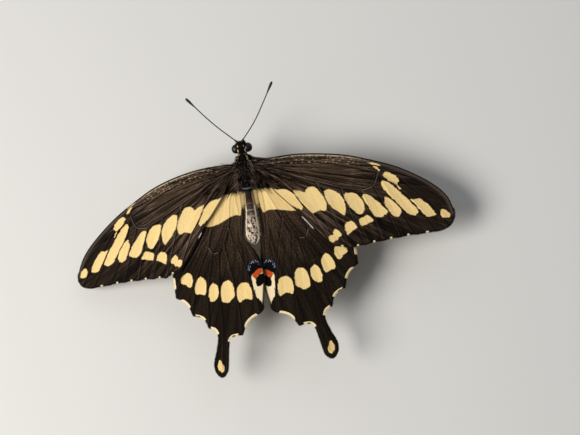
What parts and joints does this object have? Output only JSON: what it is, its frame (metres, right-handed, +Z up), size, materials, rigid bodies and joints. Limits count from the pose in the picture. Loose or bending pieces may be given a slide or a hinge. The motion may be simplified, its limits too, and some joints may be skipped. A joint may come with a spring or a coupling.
{
  "type": "swallowtail butterfly",
  "caption": "Still, life-size swallowtail butterfly with wings spread and short tails, standing on its feet, for display, teaching or scene dressing.",
  "frame": {"origin": "under the middle of the whole model's box, on the floor that the feet stand on", "axes": "+Z up, head towards -Y, tails towards +Y, the animal's left side at +X"},
  "size_m": [0.1194, 0.0838, 0.0241],
  "materials": {
    "wing_scales": "matt dusty wing scales, black-brown with cream-yellow bands and spots",
    "head_black": "short black hair and scales with small cream spots",
    "body_fur": "black-brown hair with warm brown sides",
    "abdomen_scales": "purplish brown scales with cream side stripes, worn beige towards the tip",
    "eye": "smooth dark compound eye with a faint violet sheen",
    "horn_black": "satin black horn",
    "leg_dark": "dark brown horn with cream scales along the thighs",
    "palp_cream": "cream scales with dark tips"
  },
  "bodies": {
    "root": {"head": "head_black", "prothorax": "head_black", "thorax": "body_fur", "abdomen": "abdomen_scales", "proboscis": "horn_black", "eye_left": "eye", "eye_right": "eye", "palp_left": "palp_cream", "palp_right": "palp_cream", "antenna_left": "horn_black", "antenna_right": "horn_black", "forewing_left": "wing_scales", "forewing_right": "wing_scales", "hindwing_left": "wing_scales", "hindwing_right": "wing_scales", "leg_front_left": "leg_dark", "leg_front_right": "leg_dark", "leg_middle_left": "leg_dark", "leg_middle_right": "leg_dark", "leg_hind_left": "leg_dark", "leg_hind_right": "leg_dark"}
  },
  "joints": []
}
